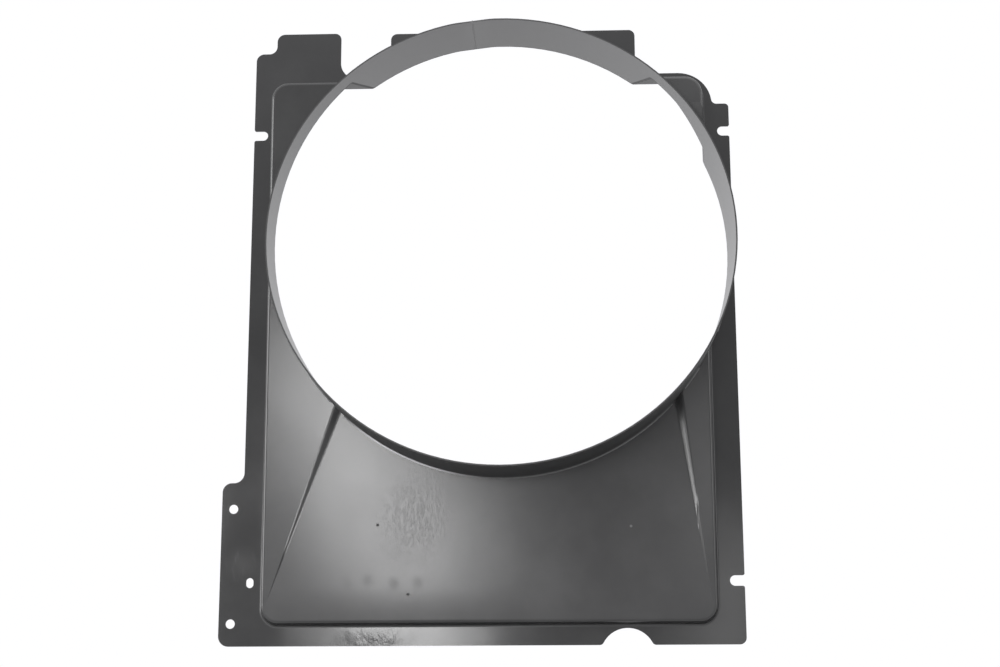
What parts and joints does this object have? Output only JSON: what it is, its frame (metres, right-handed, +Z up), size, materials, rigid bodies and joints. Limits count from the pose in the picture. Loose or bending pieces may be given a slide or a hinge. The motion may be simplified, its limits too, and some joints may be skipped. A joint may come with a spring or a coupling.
{
  "type": "radiator fan shroud",
  "caption": "Pressed sheet-steel radiator fan shroud: flat slotted flange, raised sloping pan, and a round rolled fan hoop with a slanted rim.",
  "frame": {"origin": "on the fan axis, in the plane of the flange's front face", "axes": "+Z up, +X to the right seen from the fan side, -Y along the fan axis towards the fan; +Y is the radiator side"},
  "size_m": [0.5079, 0.101, 0.6278],
  "materials": {
    "panel_paint": "semi-gloss black paint",
    "hoop_paint": "satin black paint",
    "weld_paint": "painted weld metal"
  },
  "bodies": {
    "root": {"panel_flange": "panel_paint", "panel_pan": "panel_paint", "panel_corner": "panel_paint", "fan_ring": "hoop_paint", "ring_seam_weld": "weld_paint", "ring_foot_weld": "weld_paint"}
  },
  "joints": []
}
